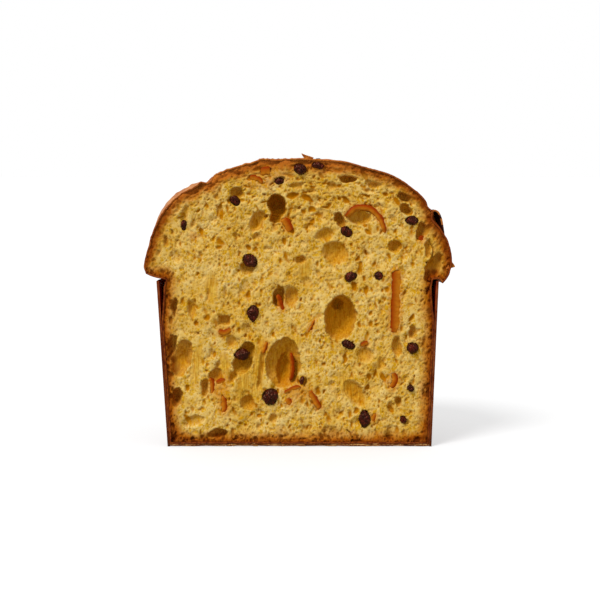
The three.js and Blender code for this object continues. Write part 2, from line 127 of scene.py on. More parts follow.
SMALL_HOLES = [
    (-49.6, 149.4, 3.8, 5.6, 10, 2.6), (-71.2, 146.4, 4.4, 12.5, 14, 2.4),
    (-66.3, 140.5, 3.8, 5.6, 20, 2), (-39.6, 133, 3.8, 4.4, 0, 2), (-26.3, 132.3, 5.6, 5, 0, 2.2),
    (-15.4, 138.6, 4.4, 5.6, 10, 2.4), (-21, 173.6, 8.1, 3, -15, 1.6), (-12.5, 167.4, 8.1, 5, -20, 3.4),
    (-37.5, 171.2, 13, 3, 15, 1.2), (20.1, 163.6, 7.5, 4.4, -10, 2.4), (-2.2, 163.8, 10, 4.2, -10, 2.6),
    (7.8, 160.6, 5.6, 3.8, 0, 2), (69.6, 153.1, 4, 3, 40, 2), (6, 142.6, 7, 4, 0, 1.6),
    (57.7, 144.1, 5, 4, 30, 1.8), (6.6, 138.3, 8.1, 4.4, 0, 2.2), (13.4, 147.9, 9, 6, 10, 1.3),
    (80, 98.4, 2.8, 5.6, 10, 4), (57.5, 25.1, 4.4, 7, 5, 2.6), (-16.9, 17.8, 5.6, 6.2, 0, 2.8),
    (20.3, 38.2, 5.6, 7.5, 0, 1.6), (51.1, 52.5, 3.8, 9.4, 0, 2.2), (67.7, 15.4, 4.6, 4, 0, 2),
    (-34.1, 99, 7.5, 13.8, 0, 1.6), (44.7, 160.5, 8, 3, 16, 1.6), (-80, 5.5, 4.4, 5, 0, 3.6),
    (35.7, 3.9, 7.5, 1.8, 0, 3), (31.2, 8.6, 1, 7, -38, 3), (-71.5, 137.2, 2.2, 3, 20, 3),
    (-11.9, 151.1, 2, 2, 0, 2), (-21.3, 144.6, 3, 2.6, 0, 5), (-22.3, 158.6, 3.4, 1.8, 30, 3),
    (-52.2, 49.8, 3, 12, 24, 2.4), (-63.6, 72.1, 1.8, 1.8, 0, 2.4), (-26.2, 12.9, 3, 4, 0, 2),
    (23.1, 33.6, 4, 8, -40, 1.4), (47.5, 63, 3, 12, 6, 1.4), (-24.1, 48.8, 4, 26, 9, 2.6),
    (-41.7, 44.4, 5, 10, 34, 4), (3, 40.7, 2.4, 7, 10, 3.4), (16.1, 10.2, 4, 3, 0, 1.6),
    (-55.2, 58.9, 4, 8, 0, 1.8), (-46, 98.2, 3, 7, 0, 1.6), (-57, 96.2, 2.4, 8, 4, 1.8),
    (44, 90.2, 3, 6, 0, 1.4), (51.5, 87.2, 4, 8, 0, 1.4), (66, 96.2, 2.6, 9, 0, 1.3),
    (66.3, 42.7, 2.4, 6, 20, 1.4), (78.4, 33.6, 2, 5, 0, 2), (78.2, 66, 2, 9, 6, 1.8),
    (-7, 108.2, 4, 4, 30, 1.6), (12, 109.2, 3, 5, 0, 1.4), (-59.9, 107.2, 3, 4, 0, 1.4),
    (-80.4, 44.8, 3, 5, 0, 2), (-61.8, 121.2, 3, 4, 20, 1.4), (-19.9, 125.2, 4, 3, 0, 1.4),
    (41.9, 121.2, 4, 3, 0, 1.2), (2, 128.2, 5, 3, 10, 1.4), (-2, 149.1, 6, 3.4, -10, 1.4),
    (59.6, 164, 5, 2, 22, 2), (70.5, 161, 3, 1.8, 40, 2), (-49.7, 165.9, 4, 2, -14, 1.6),
    (-57.6, 161, 4, 2, -30, 1.6), (16.9, 172.9, 7, 2, -8, 1.4), (49.7, 151.1, 8, 3, 14, 1.3),
    (84.7, 132.2, 2.6, 5, 16, 2), (86.7, 121.2, 2.4, 4, 20, 2.2), (-87.8, 122.2, 2, 4, -18, 2),
    (-83.7, 129.2, 2, 4, -16, 1.8), (-79.7, 135.2, 2, 5, -20, 2), (-10.1, 5.7, 5, 1.6, 0, 1.6),
    (-40.4, 4.9, 4, 1.4, 0, 1.6), (55.4, 6.1, 6, 1.4, 6, 1.6), (-66.6, 4.7, 5, 1.4, 0, 1.8),
    (2, 4.9, 8, 1.2, 0, 1.4),
]
# Crack of the crumb at the right lip: path, width, depth.
CRACK = ([(80.8, 129.4), (83.3, 124.4), (82, 118), (79.2, 116)], 1.1, 4)
# Raisins on the cut face: x, z, width, height, clockwise tilt, how far back they lie.
RAISINS = [
    (-40, 154.2, 7.2, 5.2, 28, 2.6), (-30.7, 117.2, 10.2, 7.8, 24, 2.2), (0.2, 174.4, 8, 6.4, 26, 1.6),
    (11.7, 176.6, 7.6, 3.2, 4, 1.2), (69.9, 142.5, 8.4, 5.6, -6, 2.2), (29.1, 135.4, 8, 6.4, 28, 2.8),
    (31.9, 107.2, 8.2, 5.6, -14, 1.8), (49.3, 107.8, 5.6, 5.2, 0, 1.6), (-29.2, 84.5, 6.8, 10.4, 4, 1.6),
    (-35.9, 58.3, 9.6, 7, -16, 2.2), (-18.5, 31.4, 10, 10, 0, 1.8), (30.9, 64.4, 9.2, 5, 24, 1.6),
    (71, 62.4, 7.2, 7, 30, 1.8), (69.8, 37.1, 4.6, 3.8, 32, 1.2), (65.1, 17.1, 4.2, 4.2, 0, 1.2),
    (41.1, 17.5, 7, 11.8, 0, 1.8), (-12.5, 166.7, 5.4, 3.8, -10, 2), (1.8, 42.1, 2.8, 5, 18, 1.4),
    (-72.1, 139.3, 3.2, 6, 8, 1.6),
]
HIDDEN_RAISINS = 6  # in the crust, behind the cut
# Strips of candied peel: path on the cut face, width, thickness, how far back they lie.
PEELS = [
    ([(-10, 143.5), (-7.6, 139.7), (-5.6, 135.6)], 4.6, 4, 0.2),
    (
        [(29.2, 144.7), (33.2, 149.3), (39.4, 150.7), (45.7, 148.5), (50.7, 142.7), (53.4, 134.8)],
        3, 5, -0.4,
    ),
    ([(59.7, 72.3), (60, 85.1), (60.3, 99.2), (60.5, 112.6)], 6.4, 2.6, 0.5),
    ([(-51.1, 72.7), (-46.9, 72.3), (-43.1, 74.5)], 3.2, 4, 0.4),
    ([(-56.3, 43.4), (-54.7, 39.7), (-54.9, 33.2)], 2.8, 4, 0.8),
    ([(-52.3, 40.3), (-46.4, 42.5)], 2.6, 3.4, 0.8),
    ([(-48.3, 32), (-47.3, 26.5), (-47.9, 21)], 3.8, 3.4, 0.5),
    ([(-20.5, 66.2), (-22.9, 59.1)], 2, 2.4, 0.2),
    ([(9.4, 80.3), (5.6, 72.7)], 1.6, 2.4, 0.1),
    ([(38.3, 64.2), (43.1, 66.2)], 2.6, 2.6, 0.4),
    ([(58.8, 47.2), (60.1, 42.3), (57.5, 37.1)], 4, 3.6, 0.6),
    ([(47.9, 20.8), (45.7, 15.3)], 2.6, 2.6, 0.3),
    ([(6.6, 35.6), (9.6, 29.8), (12.9, 23.9)], 3.6, 3.2, 0.2),
    ([(-9.7, 34), (-4, 37.1), (1, 37.7)], 2.2, 3, 0.2),
    ([(-8.1, 30.2), (-5.2, 26.9)], 4, 3.4, 0.3),
    ([(-5.4, 58.9), (-4.4, 49.8), (-5.6, 41.7)], 2.2, 5, 1.4),
    ([(-13.6, 96), (-12, 90.8), (-10, 85.6)], 3, 4, 1.4),
    ([(-30.8, 169.5), (-26.4, 168.5), (-22.6, 165.7)], 3, 3.2, 0.2),
    ([(-24.2, 172.9), (-18.1, 173.5)], 5.4, 4.4, 0.3),
    ([(75.7, 132.8), (76.7, 129.2)], 3.4, 3, 2),
]

# The sheet that the crumb's face is shaped from.
FACE_WIDTH = 196
FACE_HEIGHT = 182
CELL = 0.57  # spacing of the points on the cut face
DEEPEST = 23  # of any hole
BACK = 24  # depth of the flat back of the crumb
LINE_POINTS = 60  # along a crack or a strip of peel
# Sizes of the fine cells: how many, smallest and largest radius, depth for each radius, steepness.
FOAM = [(9500, 0.5, 0.72, 1.0, 1.0), (1300, 0.75, 1.2, 1.0, 0.9), (190, 1.2, 1.9, 0.85, 0.75)]
DIMPLES = [(90, 2.2, 4.4, 0.45, 1.5)]
# Places where the crumb is drawn out into upright threads: x, z, width, height, clockwise tilt.
DRAWN = [
    (-25.3, 48.8, 7, 36, 9), (-35.3, 39.4, 7, 20, 10), (-64.7, 52, 6, 28, 10), (-46.6, 52, 6, 16, -10),
    (50.3, 54, 5, 15, 0), (30, 38, 9, 18, -30), (4, 112, 7, 14, 10), (-4.5, 66, 12, 9, 0),
    (-55, 100, 7, 18, 0),
]
# Places stained by the syrup of the fruit, in the same way.
STAINS = [
    (-19, 168, 34, 13, -12), (-2, 36, 26, 16, 20), (58, 41, 10, 16, 0), (-50, 38, 14, 20, 0),
    (-47, 25, 10, 14, 0), (-66, 132, 8, 8, 0), (-46, 72, 10, 6, 0),
]
# Large torn patches of the paper along the foot of the cut: x, length, height.
FRAYS = [
    (37, 17, 1.9), (77, 11, 1.6), (-44, 5, 1.4), (-66, 5, 1.2), (-29, 4, 1.4), (-20, 4, 1.2),
    (56, 8, 1.3),
]

# Places in the shared frame
low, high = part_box("paper_base")
AXIS = Vector(((low.x + high.x) / 2, low.y, 0))
TO_FRAME = Matrix.Translation(AXIS) @ Matrix.Diagonal((0.001, 0.001, 0.001, 1))


def smooth_step(value, start, end):
    t = np.clip((np.asarray(value, float) - start) / (end - start), 0, 1)
    return t * t * (3 - 2 * t)


def bell(offset, width):
    return np.exp(-((offset / width) ** 2))


def cloud(x, z, size, seed):
    """Smooth random values from -1 to 1, in lumps about size millimetres across."""
    table = np.random.default_rng(seed).uniform(-1, 1, (256, 256))
    gx, gz = x / size + 1000.37, z / size + 1000.61
    ix, iz = np.floor(gx).astype(int), np.floor(gz).astype(int)
    fx, fz = gx - ix, gz - iz
    fx, fz = fx * fx * (3 - 2 * fx), fz * fz * (3 - 2 * fz)
    ix0, ix1, iz0, iz1 = ix % 256, (ix + 1) % 256, iz % 256, (iz + 1) % 256
    lower = table[iz0, ix0] * (1 - fx) + table[iz0, ix1] * fx
    upper = table[iz1, ix0] * (1 - fx) + table[iz1, ix1] * fx
    return lower * (1 - fz) + upper * fz


def spline(points, count=600):
    """Evenly spaced points along the centripetal curve through the given ones."""
    p = np.array(points, float)
    p = np.vstack([2 * p[0] - p[1], p, 2 * p[-1] - p[-2]])
    s = np.linspace(0, 1, 24, endpoint=False)[:, None]
    pieces = []
    for a, b, c, d in zip(p, p[1:], p[2:], p[3:]):
        spans = ((a, b), (b, c), (c, d))
        before, here, after = (max(np.linalg.norm(w - v) ** 0.5, 1e-4) for v, w in spans)
        leave = ((b - a) / before - (c - a) / (before + here) + (c - b) / here) * here
        arrive = ((c - b) / here - (d - b) / (here + after) + (d - c) / after) * here
        bend, twist = 3 * (c - b) - 2 * leave - arrive, 2 * (b - c) + leave + arrive
        pieces.append(b + leave * s + bend * s**2 + twist * s**3)
    path = np.vstack([*pieces, p[-2]])
    length = np.r_[0, np.cumsum(np.hypot(*np.diff(path, axis=0).T))]
    even = np.linspace(0, length[-1], count)
    return np.stack([np.interp(even, length, path[:, k]) for k in (0, 1)], axis=1)


domes = {"right": spline(RIGHT_DOME), "left": spline(LEFT_DOME)}
unders = {"right": spline(RIGHT_UNDER), "left": spline(LEFT_UNDER)}


def outline_at(curves, turn, along):
    """Radius and height on the smooth outline, from the right-hand one at 0 to the left at half a turn."""
    share = (1 - np.cos(turn)) / 2
    places = np.linspace(0, 1, len(curves["right"]))
    return [
        np.interp(along, places, curves["right"][:, k]) * (1 - share)
        + np.interp(along, places, curves["left"][:, k]) * share
        for k in (0, 1)
    ]


def paper_radius(z):
    """Outside of the paper wall."""
    return FOOT_RADIUS + (RIM_RADIUS - FOOT_RADIUS) * z / MOULD_HEIGHT


def lean(z):
    """How far the mould stands to one side at a height."""
    return LEAN * z / MOULD_HEIGHT


def bread_radius(z):
    return paper_radius(z) - PAPER - FIT - SHRINK * smooth_step(z, SHRINK_FROM, TOP_OF_WALL - 4)


def flap_cover(degrees, along):
    """How far a place lies under one of the scored flaps: 0 on the bare dome, up to the flap's darkness
    well on a flap.
    """
    cover = np.zeros_like(degrees)
    torn = 0.03 * cloud(degrees, along * 100, 9, 4) + 0.022 * cloud(degrees, along * 100, 3, 5)
    off_back = smooth_step(np.abs(degrees - 90), 90, 80)
    for turn, _, spread, _, skin, dark in FLAPS:
        off = np.clip(np.abs(degrees - turn) / spread, 0, 1)
        edge = skin + (0.97 - skin) * off**1.5 + torn * off_back
        # The cover is scaled by each flap's darkness, which holds the painted light of the paler left and
        # darker right flap.
        cover = np.maximum(cover, dark * smooth_step(along - edge, -0.01, 0.03))
    return cover


def crust_relief(degrees, along):
    """How far the crust stands out from the smooth dome: flap edges, swellings and soft waves."""
    rise = np.zeros_like(degrees)
    torn = 0.014 * cloud(degrees, along * 100, 8, 3)
    off_back = smooth_step(np.abs(degrees - 90), 90, 80)
    for turn, tip, spread, lift, _, _ in FLAPS:
        off = np.abs(degrees - turn) / spread
        keep = (1 - np.clip(off, 0, 1) ** 4) * (off < 1)
        edge = tip + (0.97 - tip) * np.clip(off, 0, 1) ** 1.5
        ragged = edge + torn * off_back
        inside = smooth_step(along - ragged, 0, 0.018)
        rise += lift * inside * (1 - 0.9 * smooth_step(along - edge, 0.1, 0.42)) * keep
        rise += 0.5 * bell(along - ragged - 0.022, 0.014) * keep
        rise -= bell(along - ragged + 0.016, 0.014) * keep
    for turn, place, wide, long, amount in SWELLINGS:
        rise += amount * bell(degrees - turn, wide) * bell(along - place, long)
    back = np.sin(np.radians(degrees))
    rise += back * 1.1 * np.sin(np.radians(degrees * 5) + 9 * along)
    rise += back * 0.7 * np.sin(np.radians(degrees * 11) - 14 * along)
    return rise * smooth_step(along, 0.06, 0.2) * (1 - smooth_step(along, 0.9, 1))


def crust_point(turn, along):
    """Radius and height of the crust, relief and all, at arrays of turns and places along the dome."""
    radius, height = outline_at(domes, turn, along)
    r1, z1 = outline_at(domes, turn, np.minimum(along + 0.008, 1))
    r0, z0 = outline_at(domes, turn, np.maximum(along - 0.008, 0))
    run, fall = r1 - r0, z1 - z0
    size = np.hypot(run, fall) + 1e-9
    degrees = np.degrees(turn)
    cover = flap_cover(degrees, along)
    rise = crust_relief(degrees, along)
    # Fine wrinkles on the flaps, coarser torn ridges on the bare dome.
    arc, down = np.radians(degrees) * radius, along * 140
    wrinkle = 1 - 2 * np.abs(cloud(arc * 0.7, down * 1.6, 3.2, 11))
    blister = cloud(arc, down, 9, 12) + 0.5 * cloud(arc, down, 4.2, 13)
    torn = cloud(arc * 1.6, down * 0.6, 4.4, 14) + 0.3 * cloud(arc * 1.4, down, 2.2, 15)
    calm = smooth_step(along, 0.01, 0.05)
    on_flap, on_dome = 0.16 * wrinkle + 0.26 * blister, 0.42 * torn + 0.2 * blister
    rise = rise + calm * (cover * on_flap + (1 - cover) * on_dome)
    return radius - fall / size * rise, height + run / size * rise, cover


# Making and finishing pieces
def new_piece(name, bm, material, cad_nodes):
    """Puts a finished shape in the shared frame as a piece of the loaf."""
    mesh = bpy.data.meshes.new(name)
    bm.to_mesh(mesh)
    bm.free()
    mesh.transform(TO_FRAME)
    for face in mesh.polygons:
        face.use_smooth = True
    for finish in material if isinstance(material, list) else [material]:
        mesh.materials.append(finish)
    piece = bpy.data.objects.new(name, mesh)
    bpy.context.scene.collection.objects.link(piece)
    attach(piece, "root")
    if cad_nodes:
        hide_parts(*cad_nodes)
    return piece


def points_of(bm):
    return np.array([v.co for v in bm.verts], float)


def new_grid(columns, rows):
    """A flat grid, with the place of each of its points across and up it, from 0 to 1."""
    bm = bmesh.new()
    bmesh.ops.create_grid(bm, x_segments=columns, y_segments=rows, size=0.5)
    across, up, _ = (points_of(bm) + 0.5).T
    return bm, across, up


def move_points(bm, points):
    for vertex, point in zip(bm.verts, points):
        vertex.co = point


def record(bm, name, values):
    """Keeps one number for each point of the shape, for its finish to read."""
    layer = bm.verts.layers.float.new(name)
    for vertex, value in zip(bm.verts, values):
        vertex[layer] = float(value)


# Crumb


def cut_outline():
    """The loaf's outline on the cut, clockwise from the middle of the foot, and how bare of skin it is."""
    places = np.linspace(0, 1, 260)
    wall_z = np.linspace(TOP_OF_WALL, BREAD_FOOT, 120)
    foot_x = np.linspace(bread_radius(BREAD_FOOT), 0, 100)[1:]
    sides, bare = [], []
    for turn, key, way in ((math.pi, "left", -1), (0, "right", 1)):
        radius, height, cover = crust_point(np.full_like(places, turn), places)
        under = unders[key][12:-1:12]
        wall = np.c_[way * bread_radius(wall_z) + lean(wall_z), wall_z]
        foot = np.c_[way * foot_x + lean(BREAD_FOOT), np.full_like(foot_x, BREAD_FOOT)]
        sides.append(np.vstack([np.c_[way * radius, height], under * (way, 1), wall, foot]))
        # Bareness is 1 less the cover, so the left flap's paler painted light also lets more pale bare
        # toast into the crumb below it.
        bare.append(np.r_[1 - cover, np.zeros(len(under) + len(wall) + len(foot))])
    return np.vstack([sides[0][::-1], sides[1][1:]]), np.r_[bare[0][::-1], bare[1][1:]]


def inside_outline(x, z, outline):
    """Which points of a regular grid lie inside the closed outline."""
    inside = np.zeros(x.shape, bool)
    for (ax, az), (bx, bz) in zip(outline, np.roll(outline, -1, axis=0)):
        if az == bz:
            continue
        crosses = (az > z) != (bz > z)
        rows = crosses[:, 0]
        if rows.any():
            at = ax + (z[rows] - az) / (bz - az) * (bx - ax)
            inside[rows] ^= x[rows] < at
    return inside


def nearest(points, outline):
    """Distance to the outline, and the number of the outline point that is nearest."""
    distance, number = np.empty(len(points)), np.empty(len(points), int)
    for start in range(0, len(points), 4000):
        part = slice(start, start + 4000)
        dx, dz = (points[part, None, k] - outline[None, :, k] for k in (0, 1))
        gap = dx**2 + dz**2
        number[part] = gap.argmin(1)
        distance[part] = np.sqrt(gap.min(1))
    return distance, number


def line_gap(points, path, reach):
    """Distance to a path, worked out only for the points within reach of it."""
    low_corner, high_corner = path.min(0) - reach, path.max(0) + reach
    near = ((points > low_corner) & (points < high_corner)).all(1)
    gap = np.full(len(points), float(reach))
    gap[near] = nearest(points[near], path)[0]
    return gap


def sink(depths, grid, row, edge=0.5):
    """Deepens a map of the face to a rounded hollow where that is deeper."""
    x, z, width, height, tilt, depth = row
    reach = 0.56 * max(width, height) + 1
    columns = slice(*np.searchsorted(grid["x"], (x - reach, x + reach)))
    rows = slice(*np.searchsorted(grid["z"], (z - reach, z + reach)))
    dx, dz = grid["warped_x"][rows, columns] - x, grid["warped_z"][rows, columns] - z
    c, s = math.cos(math.radians(tilt)), math.sin(math.radians(tilt))
    across, up = (dx * c - dz * s) / (width / 2), (dx * s + dz * c) / (height / 2)
    bowl = depth * np.clip(1 - across**2 - up**2, 0, None) ** edge
    np.maximum(depths[rows, columns], bowl, out=depths[rows, columns])


def foam(grid, shape, sizes, seed):
    """The cells of the crumb: rounded pits of several sizes, packed until they meet."""
    rng = np.random.default_rng(seed)
    depths = np.zeros(shape)
    for count, low_radius, high_radius, deep, steep in sizes:
        xs, zs = rng.uniform(-97, 97, count), rng.uniform(1, 181, count)
        radii = rng.uniform(low_radius, high_radius, count)
        high_up = smooth_step(zs, 125, 168)
        stretch = rng.uniform(1.1, 2.2 + 0.6 * high_up, count)
        tilts = np.where(rng.random(count) < high_up, 90 + 0.5 * xs, 0.12 * xs) + rng.normal(0, 18, count)
        force = deep * rng.uniform(0.5, 1.3, count) * (1 + 0.25 * high_up)
        for x, z, radius, longer, tilt, much in zip(xs, zs, radii, stretch, tilts, force):
            sink(depths, grid, (x, z, 2 * radius, 2 * radius * longer, tilt, radius * much), steep)
    return depths


def web(x, z):
    """Threads of crumb drawn between the cells: 1 along a thread and 0 between them."""
    threads = np.zeros(x.shape)
    for size, upright, seed in ((1.6, 0.85, 71), (2.5, 0.6, 73), (3.8, 0.4, 75)):
        line = np.abs(cloud(x, z * upright, size, seed) + 0.35 * cloud(x, z, 1.6, seed + 1))
        threads = np.maximum(threads, 1 - smooth_step(line, 0.04, 0.36))
    return threads


def warped_grid(xs, zs, steps):
    """The columns and rows of the sheet, and its points moved about so that holes have uneven edges."""
    x, z = np.meshgrid(xs, zs)
    moved_x, moved_z = x, z
    for amount, size, seed_x, seed_z in steps:
        moved_x = moved_x + amount * cloud(x, z, size, seed_x)
        moved_z = moved_z + amount * cloud(x, z, size, seed_z)
    return {"x": xs, "z": zs, "warped_x": moved_x, "warped_z": moved_z}


def air_holes(x, ragged, flat):
    """Depth of the larger air holes and the crack."""
    hollow = np.zeros(x.shape)
    for hole in BIG_HOLES + SMALL_HOLES:
        sink(hollow, ragged, hole, 0.42 if hole[-1] > STEEP_FROM else 0.6)
    line, wide, deep = CRACK
    gap = line_gap(flat, spline(line, LINE_POINTS), 4).reshape(x.shape)
    return np.maximum(hollow, deep * (1 - smooth_step(gap, wide / 2 - 0.4, wide / 2 + 0.2)))


def fruit_beds(x, z, ragged, soft, flat):
    """Depth of the beds that the fruit lies in, and where its syrup has stained the crumb."""
    pocket, syrup = np.zeros(x.shape), np.zeros(x.shape)
    for px, pz, width, height, tilt, back in RAISINS:
        deep = back + 0.3 * min(width, height) + 1.5
        sink(pocket, soft, (px, pz, width - 0.3, height - 0.3, tilt, deep))
    for line, wide, deep, back in PEELS:
        trim = min(25, round(LINE_POINTS / 2 * (wide + 0.5) / math.dist(line[0], line[-1])))
        middle = spline(line, LINE_POINTS)[trim : LINE_POINTS - trim]
        gap = line_gap(flat, middle, 8).reshape(x.shape) + 0.6 * cloud(x, z, 1.9, 37)
        slot = (back + 0.8 * deep) * (1 - smooth_step(gap, wide / 2 - 1.3, wide / 2 - 0.3))
        pocket = np.maximum(pocket, slot)
        halo = gap + 0.6 * cloud(x, z, 2, 35)
        syrup = np.maximum(syrup, 1 - smooth_step(halo, wide / 2, wide / 2 + 2.6))
    for px, pz, width, height, tilt in STAINS:
        sink(syrup, ragged, (px, pz, width, height, tilt, 1), 0.6)
    return pocket, syrup


def way_in(x, z, distance, bare):
    """How far a place is from the baked outside, uneven as the toasting is."""
    top = smooth_step(z, 150, 176)
    uneven = 1 + 0.32 * cloud(x, z, 9, 31)
    inward = np.clip(distance - SKIN, 0, None) * (1 - 0.3 * top * bare) * uneven
    patchy = 0.9 * cloud(x, z, 2.6, 32) + 0.6 * cloud(x, z, 1.2, 33)
    inward = inward + patchy * smooth_step(inward, 0.3, 2)
    return np.clip(inward - 3 * bell(np.hypot(np.abs(x) - 80, z - 2), 11), 0, None)


def make_crumb(material):
    """The cut face as one sheet with all its hollows, closed by a plain back inside the crust."""
    columns, rows = round(FACE_WIDTH / CELL), round(FACE_HEIGHT / CELL)
    bm, across, up = new_grid(columns, rows)
    column, row = (np.rint(share).astype(int) for share in (across * columns, up * rows))
    xs = -FACE_WIDTH / 2 + np.arange(columns + 1) * CELL
    zs = 0.5 + np.arange(rows + 1) * CELL
    x, z = np.meshgrid(xs, zs)
    ragged = warped_grid(xs, zs, [(0.7, 3.6, 1, 5), (0.35, 1.6, 2, 6)])
    soft = warped_grid(xs, zs, [(0.4, 2.6, 3, 4)])
    outline, bare = cut_outline()
    inside = inside_outline(x, z, outline)
    flat = np.c_[x.ravel(), z.ravel()]
    distance, number = nearest(flat, outline)
    distance = distance.reshape(x.shape)

    hollow = air_holes(x, ragged, flat)
    pocket, syrup = fruit_beds(x, z, ragged, soft, flat)
    drawn = np.zeros(x.shape)
    for px, pz, width, height, tilt in DRAWN:
        sink(drawn, ragged, (px, pz, width * 1.3, height * 1.3, tilt, 1), 0.8)
    cells = np.maximum(foam(soft, x.shape, FOAM[:1], 21), foam(ragged, x.shape, FOAM[1:], 23))
    dimples = foam(ragged, x.shape, DIMPLES, 22)
    smooth_wall = smooth_step(hollow, 0.6, 3.5)
    depth = np.maximum(hollow, pocket) + cells * (1 - 0.75 * smooth_wall) * (1 - 0.85 * drawn)
    threads = web(ragged["warped_x"], ragged["warped_z"]) * (1 - 0.6 * smooth_step(pocket, 0.3, 1))
    depth += dimples * (1 - smooth_wall) + 0.45 * cloud(x, z, 6, 7) + 0.75 * cloud(x, z * 0.8, 13, 8) + 0.6
    depth += 0.2 * (1 - threads) * (1 - 0.5 * smooth_wall)
    depth += smooth_wall * (0.5 * cloud(x, z, 3, 9) + 0.3 * cloud(x, z, 1.3, 10))
    depth += drawn * (0.5 + 0.45 * cloud(x, z * 0.16, 1.5, 36))
    tight = 1 - smooth_step(distance, SKIN, SKIN + 1)
    depth -= 0.4 * tight * cells
    depth = np.clip(depth, 0.02, DEEPEST)

    part = number.reshape(x.shape)
    # pore and hollow also drive painted shade: the finish colours pits and air holes darker the deeper
    # they are.
    values = {
        "pore": (cells + 0.2 * dimples) / 1.2,
        "hollow": hollow / 9,
        "inward": way_in(x, z, distance, bare[part]) / 11,
        "dome": smooth_step(outline[:, 1][part], TOP_OF_WALL, TOP_OF_WALL + 12),
        "bare": bare[part] * smooth_step(z, 132, 158) + 0.4 * smooth_step(z, 148, 172),
        "thread": threads,
        "drawn": drawn,
        "syrup": syrup,
    }
    move_points(bm, np.c_[xs[column], depth[row, column], zs[row]])
    for name, field in values.items():
        record(bm, name, np.clip(field[row, column], 0, 1.5))
    held = (inside & (distance > SKIN - 0.2))[row, column]
    bm.verts.ensure_lookup_table()
    bmesh.ops.delete(bm, geom=[v for v, keep in zip(bm.verts, held) if not keep], context="VERTS")
    bmesh.ops.delete(bm, geom=[v for v in bm.verts if len(v.link_faces) < 2], context="VERTS")
    close_back(bm, outline)
    return new_piece("crumb", bm, material, ["loaf"])


def close_back(bm, outline):
    """Fits the sheet's rim just inside the crust and closes it with a plain back."""
    rim = [v for v in bm.verts if v.is_boundary]
    at = np.array([(v.co.x, v.co.z) for v in rim])
    gap, which = nearest(at, outline)
    away = (at - outline[which]) / gap[:, None]
    for vertex, point in zip(rim, outline[which] + away * (SKIN - 0.25)):
        vertex.co.x, vertex.co.z = point
        vertex.co.y = min(vertex.co.y, 0.6)
    # The back is a little smaller than the face, so that it stays inside the crust.
    edges = [e for e in bm.edges if e.is_boundary]
    skirt = bmesh.ops.extrude_edge_only(bm, edges=edges)["geom"]
    for vertex in [g for g in skirt if isinstance(g, bmesh.types.BMVert)]:
        vertex.co = (vertex.co.x * 0.9, BACK, 88 + (vertex.co.z - 88) * 0.93)
    back = [e for e in skirt if isinstance(e, bmesh.types.BMEdge)]
    bmesh.ops.holes_fill(bm, edges=back, sides=0)
    bmesh.ops.recalc_face_normals(bm, faces=bm.faces)


# Crust
def make_crust(skin, cut_edge):
    """The browned outside of the bread, over the dome and down inside the paper to the foot."""
    dome, under, wall, foot = 108, 7, 22, 5
    rows, columns = dome + under + wall + foot, 300
    bm, share, down = new_grid(columns, rows)
    turn = math.pi * share - 0.18 * np.sin(2 * math.pi * share)
    line = np.rint(down * rows)
    radius, height, cover = crust_point(turn, np.clip(line / dome, 0, 1))
    under_r, under_z = outline_at(unders, turn, np.clip((line - dome) / under, 0, 1))
    past = line - dome - under
    wall_z = TOP_OF_WALL + (BREAD_FOOT - TOP_OF_WALL) * np.clip(past / wall, 0, 1)
    inwards = 1 - np.clip(past - wall, 0, None) / foot
    arc = turn * MEAN_RADIUS
    rough = 0.25 * cloud(arc, wall_z, 3, 41) + 0.15 * cloud(arc, wall_z, 1.3, 42)
    wall_r = (bread_radius(wall_z) + 0.05 + np.minimum(rough, 0.25)) * inwards
    radius = np.where(line <= dome, radius, np.where(past <= 0, under_r, wall_r))
    height = np.where(line <= dome, height, np.where(past <= 0, under_z, wall_z))
    aside = np.where(past > 0, lean(height), 0)
    move_points(bm, np.c_[radius * np.cos(turn) + aside, radius * np.sin(turn), height])
    # The flap value carries the flaps' painted light, paler left and darker right, into the crust
    # finishes.
    record(bm, "flap", cover * (line <= dome))
    record(bm, "wall", smooth_step(line, dome + 1, dome + under))
    record(bm, "along", np.clip(line / dome, 0, 1))
    bmesh.ops.remove_doubles(bm, verts=bm.verts, dist=1e-3)
    bmesh.ops.recalc_face_normals(bm, faces=bm.faces)
    top = max(bm.faces, key=lambda f: f.calc_center_median().z)
    if top.normal.z < 0:
        bmesh.ops.reverse_faces(bm, faces=bm.faces)
    crust = new_piece("crust", bm, [skin, cut_edge], [])
    shell = crust.modifiers.new("thickness", "SOLIDIFY")
    shell.thickness = SKIN * 0.001
    shell.offset = -1
    shell.use_rim = True
    shell.material_offset = 1
    shell.material_offset_rim = 1


# Paper mould
def paper_sheet(bm, columns, rows, place, thickness):
    """A sheet bent to a shape: place turns columns and rows from 0 to 1 into radius, turn and height."""
    first_face = len(bm.faces)
    points = bmesh.ops.create_grid(bm, x_segments=columns, y_segments=rows, size=0.5)["verts"]
    share = np.array([(v.co.x + 0.5, v.co.y + 0.5) for v in points])
    radius, turn, height = place(share[:, 0], share[:, 1])
    for v, r, t, h in zip(points, radius, turn, height):
        v.co = (r * math.cos(t) + lean(h), r * math.sin(t), h)
    bm.faces.ensure_lookup_table()
    sheet = bm.faces[first_face:]
    bmesh.ops.recalc_face_normals(bm, faces=sheet)
    bmesh.ops.solidify(bm, geom=sheet, thickness=thickness)
    bm.faces.ensure_lookup_table()
    return bm.faces[first_face:]


